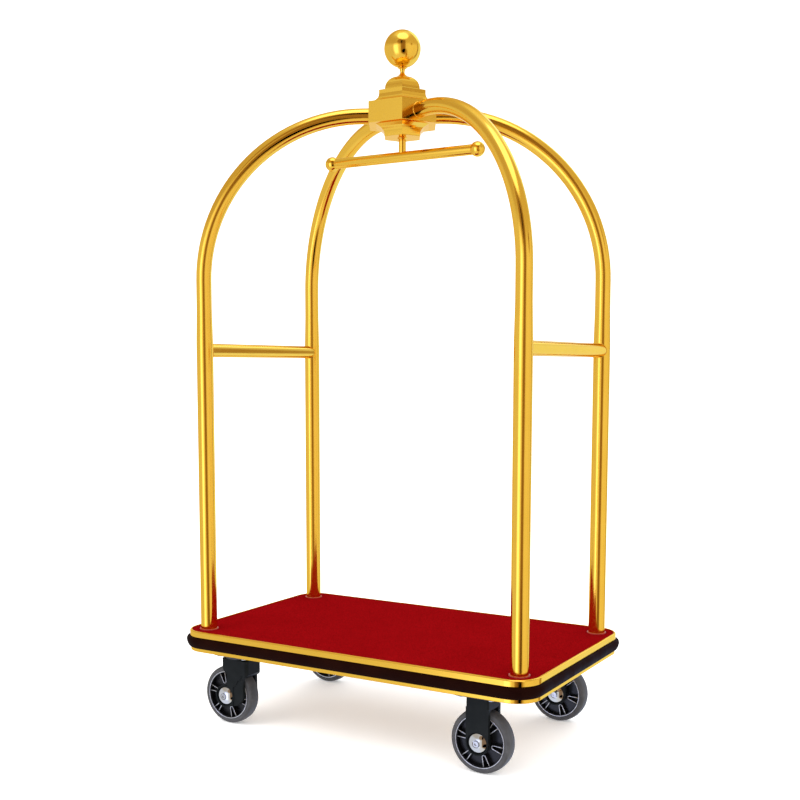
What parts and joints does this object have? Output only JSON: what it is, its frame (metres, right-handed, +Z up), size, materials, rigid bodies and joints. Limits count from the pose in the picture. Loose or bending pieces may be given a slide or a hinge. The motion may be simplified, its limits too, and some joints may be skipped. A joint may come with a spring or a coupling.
{
  "type": "hotel luggage cart",
  "caption": "Birdcage luggage cart: carpeted deck with rubber bumper, bent uprights meeting in a crown with a ball finial, garment rail, two swivel and two fixed casters.",
  "frame": {"origin": "on the floor, under the middle of the cart (bottom centre of the bounding box)", "axes": "+Z up, +X along the deck towards the fixed casters, +Y across the deck to the far long side"},
  "size_m": [1.096, 0.66, 1.9065],
  "materials": {
    "gold_plate": "titanium-gold plated stainless steel, mirror polished",
    "carpet": "deep red cut-pile carpet",
    "bumper_rubber": "brown-black soft rubber, satin",
    "plywood": "plywood, sealed",
    "frame_paint": "black powder coat",
    "collar_plastic": "thin moulded collar, matt",
    "fork_plastic": "glass-filled nylon, fine grain",
    "hub_plastic": "moulded nylon, satin",
    "tyre_rubber": "grey thermoplastic rubber",
    "chrome_cap": "polished chrome",
    "zinc_steel": "zinc plated"
  },
  "bodies": {
    "root": {"deck_board": "plywood", "carpet": "carpet", "edge_trim": "gold_plate", "bumper_strip": "bumper_rubber", "frame_side_rails": "frame_paint", "frame_cross_members": "frame_paint", "caster_mount_plates": "frame_paint", "deck_screws": "zinc_steel", "upright_front_right": "gold_plate", "upright_front_left": "gold_plate", "upright_rear_right": "gold_plate", "upright_rear_left": "gold_plate", "upright_plugs": "zinc_steel", "upright_bolts": "zinc_steel", "upright_washers": "zinc_steel", "upright_collars": "collar_plastic", "crossbar_front": "gold_plate", "crossbar_rear": "gold_plate", "crown_block": "gold_plate", "crown_cap": "gold_plate", "crown_base": "gold_plate", "crown_tie_rod": "zinc_steel", "finial_neck": "gold_plate", "finial_ball": "gold_plate", "hanger_stem": "gold_plate", "garment_rail": "gold_plate", "rail_end_balls": "gold_plate", "caster_top_plates": "frame_paint", "caster_bolts": "zinc_steel", "caster_nuts": "zinc_steel", "kingpins": "zinc_steel", "rigid_fork_front_right": "fork_plastic", "rigid_fork_front_left": "fork_plastic", "axle_bolts_front": "zinc_steel", "axle_caps_front": "chrome_cap", "axle_spacers_front": "zinc_steel"},
    "swivel_rear_right": {"swivel_fork_rear_right": "fork_plastic", "race_balls_rear_right": "zinc_steel", "axle_bolt_rear_right": "zinc_steel", "axle_caps_rear_right": "chrome_cap", "axle_spacers_rear_right": "zinc_steel"},
    "swivel_rear_left": {"swivel_fork_rear_left": "fork_plastic", "race_balls_rear_left": "zinc_steel", "axle_bolt_rear_left": "zinc_steel", "axle_caps_rear_left": "chrome_cap", "axle_spacers_rear_left": "zinc_steel"},
    "wheel_front_right": {"tyre_front_right": "tyre_rubber", "wheel_hub_front_right": "hub_plastic", "bearings_front_right": "zinc_steel"},
    "wheel_front_left": {"tyre_front_left": "tyre_rubber", "wheel_hub_front_left": "hub_plastic", "bearings_front_left": "zinc_steel"},
    "wheel_rear_right": {"tyre_rear_right": "tyre_rubber", "wheel_hub_rear_right": "hub_plastic", "bearings_rear_right": "zinc_steel"},
    "wheel_rear_left": {"tyre_rear_left": "tyre_rubber", "wheel_hub_rear_left": "hub_plastic", "bearings_rear_left": "zinc_steel"}
  },
  "joints": [
    {"name": "swivel_rear_right_turn", "type": "hinge", "parent": "root", "child": "swivel_rear_right", "pos_m": [-0.38, -0.246, 0.195], "axis": [0, 0, 1], "continuous": true},
    {"name": "swivel_rear_left_turn", "type": "hinge", "parent": "root", "child": "swivel_rear_left", "pos_m": [-0.38, 0.246, 0.195], "axis": [0, 0, 1], "continuous": true},
    {"name": "wheel_front_right_spin", "type": "hinge", "parent": "root", "child": "wheel_front_right", "pos_m": [0.38, -0.246, 0.082], "axis": [0, 1, 0], "continuous": true},
    {"name": "wheel_front_left_spin", "type": "hinge", "parent": "root", "child": "wheel_front_left", "pos_m": [0.38, 0.246, 0.082], "axis": [0, 1, 0], "continuous": true},
    {"name": "wheel_rear_right_spin", "type": "hinge", "parent": "swivel_rear_right", "child": "wheel_rear_right", "pos_m": [-0.413, -0.246, 0.082], "axis": [0, 1, 0], "continuous": true},
    {"name": "wheel_rear_left_spin", "type": "hinge", "parent": "swivel_rear_left", "child": "wheel_rear_left", "pos_m": [-0.413, 0.246, 0.082], "axis": [0, 1, 0], "continuous": true}
  ]
}
